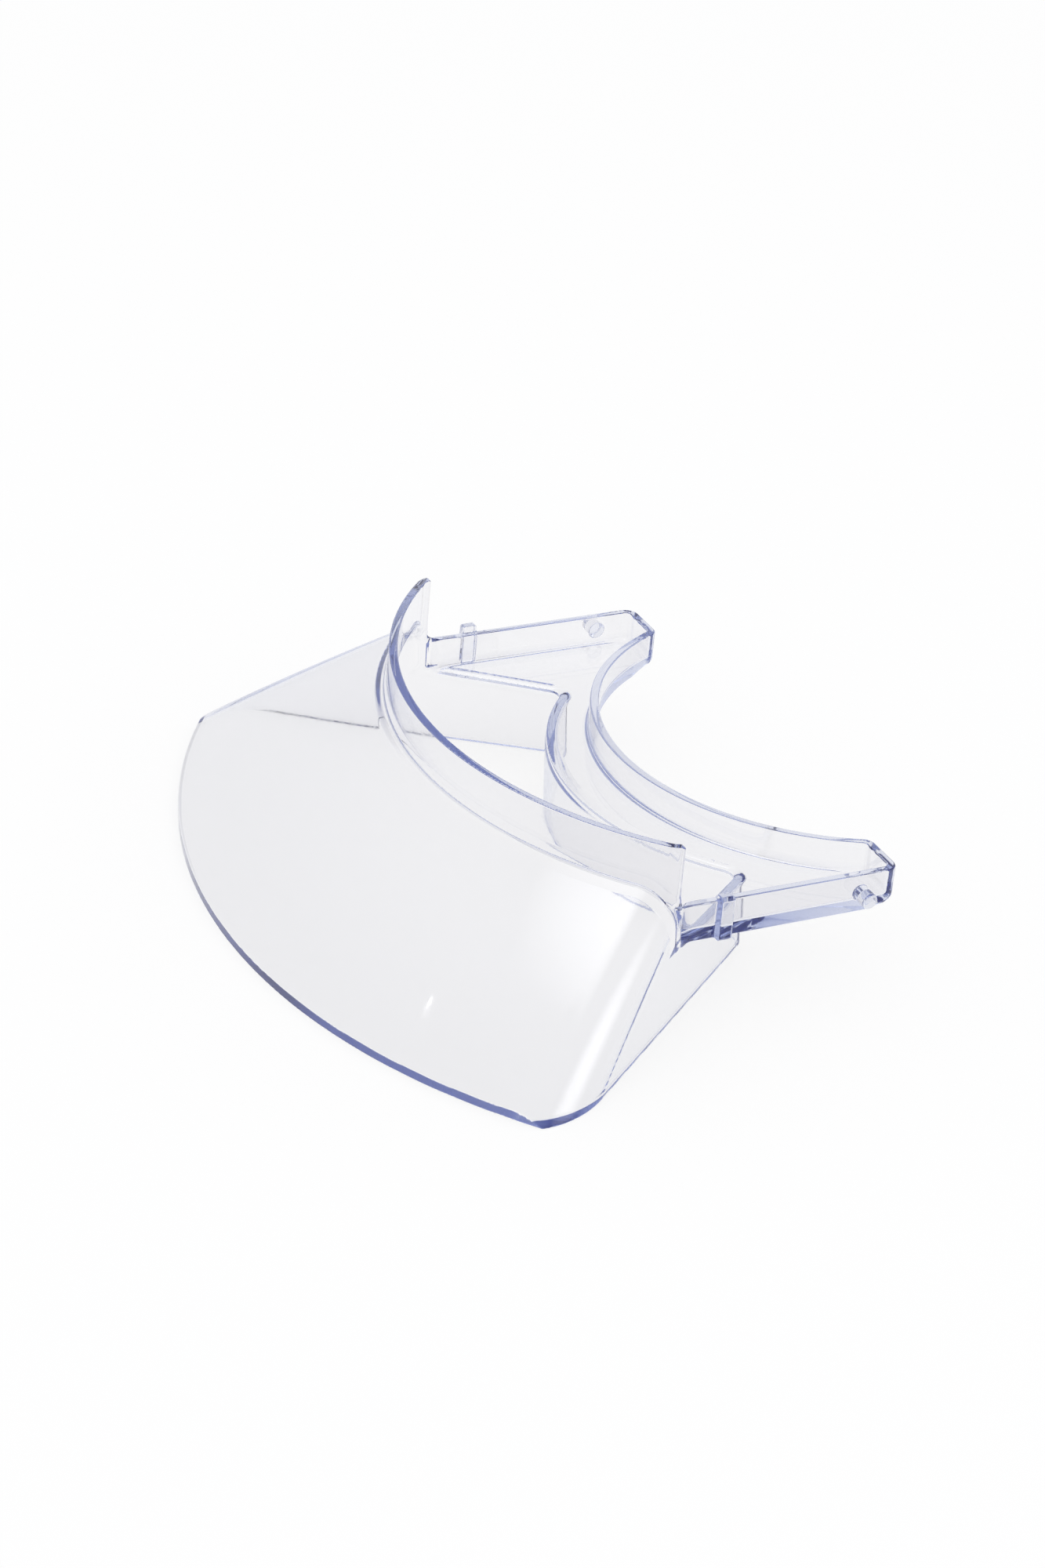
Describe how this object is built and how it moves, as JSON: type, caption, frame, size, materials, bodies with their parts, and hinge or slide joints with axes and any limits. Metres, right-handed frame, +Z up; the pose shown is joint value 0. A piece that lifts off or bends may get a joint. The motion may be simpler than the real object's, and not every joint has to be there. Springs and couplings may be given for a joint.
{
  "type": "pouring chute",
  "caption": "Clear pouring chute that hinges in the splash guard of a stand mixer bowl and funnels ingredients past the mixer head into the bowl.",
  "frame": {"origin": "centre of the box's base, in the plane of the hopper's mouth, on which the chute stands when it is laid down", "axes": "+X to the right across the flange along the hinge pins, +Y from the pouring rim towards the cut-out for the mixer head, +Z up away from the hopper's mouth"},
  "size_m": [0.261, 0.1832, 0.0602],
  "materials": {
    "clear_polycarbonate": "clear, polished, with a faint blue toner"
  },
  "bodies": {
    "root": {"deck_plate": "clear_polycarbonate", "left_rail": "clear_polycarbonate", "right_rail": "clear_polycarbonate", "left_tip": "clear_polycarbonate", "right_tip": "clear_polycarbonate", "collar_lip": "clear_polycarbonate", "left_hinge_pin": "clear_polycarbonate", "right_hinge_pin": "clear_polycarbonate", "left_snap_rib": "clear_polycarbonate", "right_snap_rib": "clear_polycarbonate", "arch_wall": "clear_polycarbonate", "chute_panel": "clear_polycarbonate", "left_cheek": "clear_polycarbonate", "right_cheek": "clear_polycarbonate", "throat_wall": "clear_polycarbonate"}
  },
  "joints": []
}
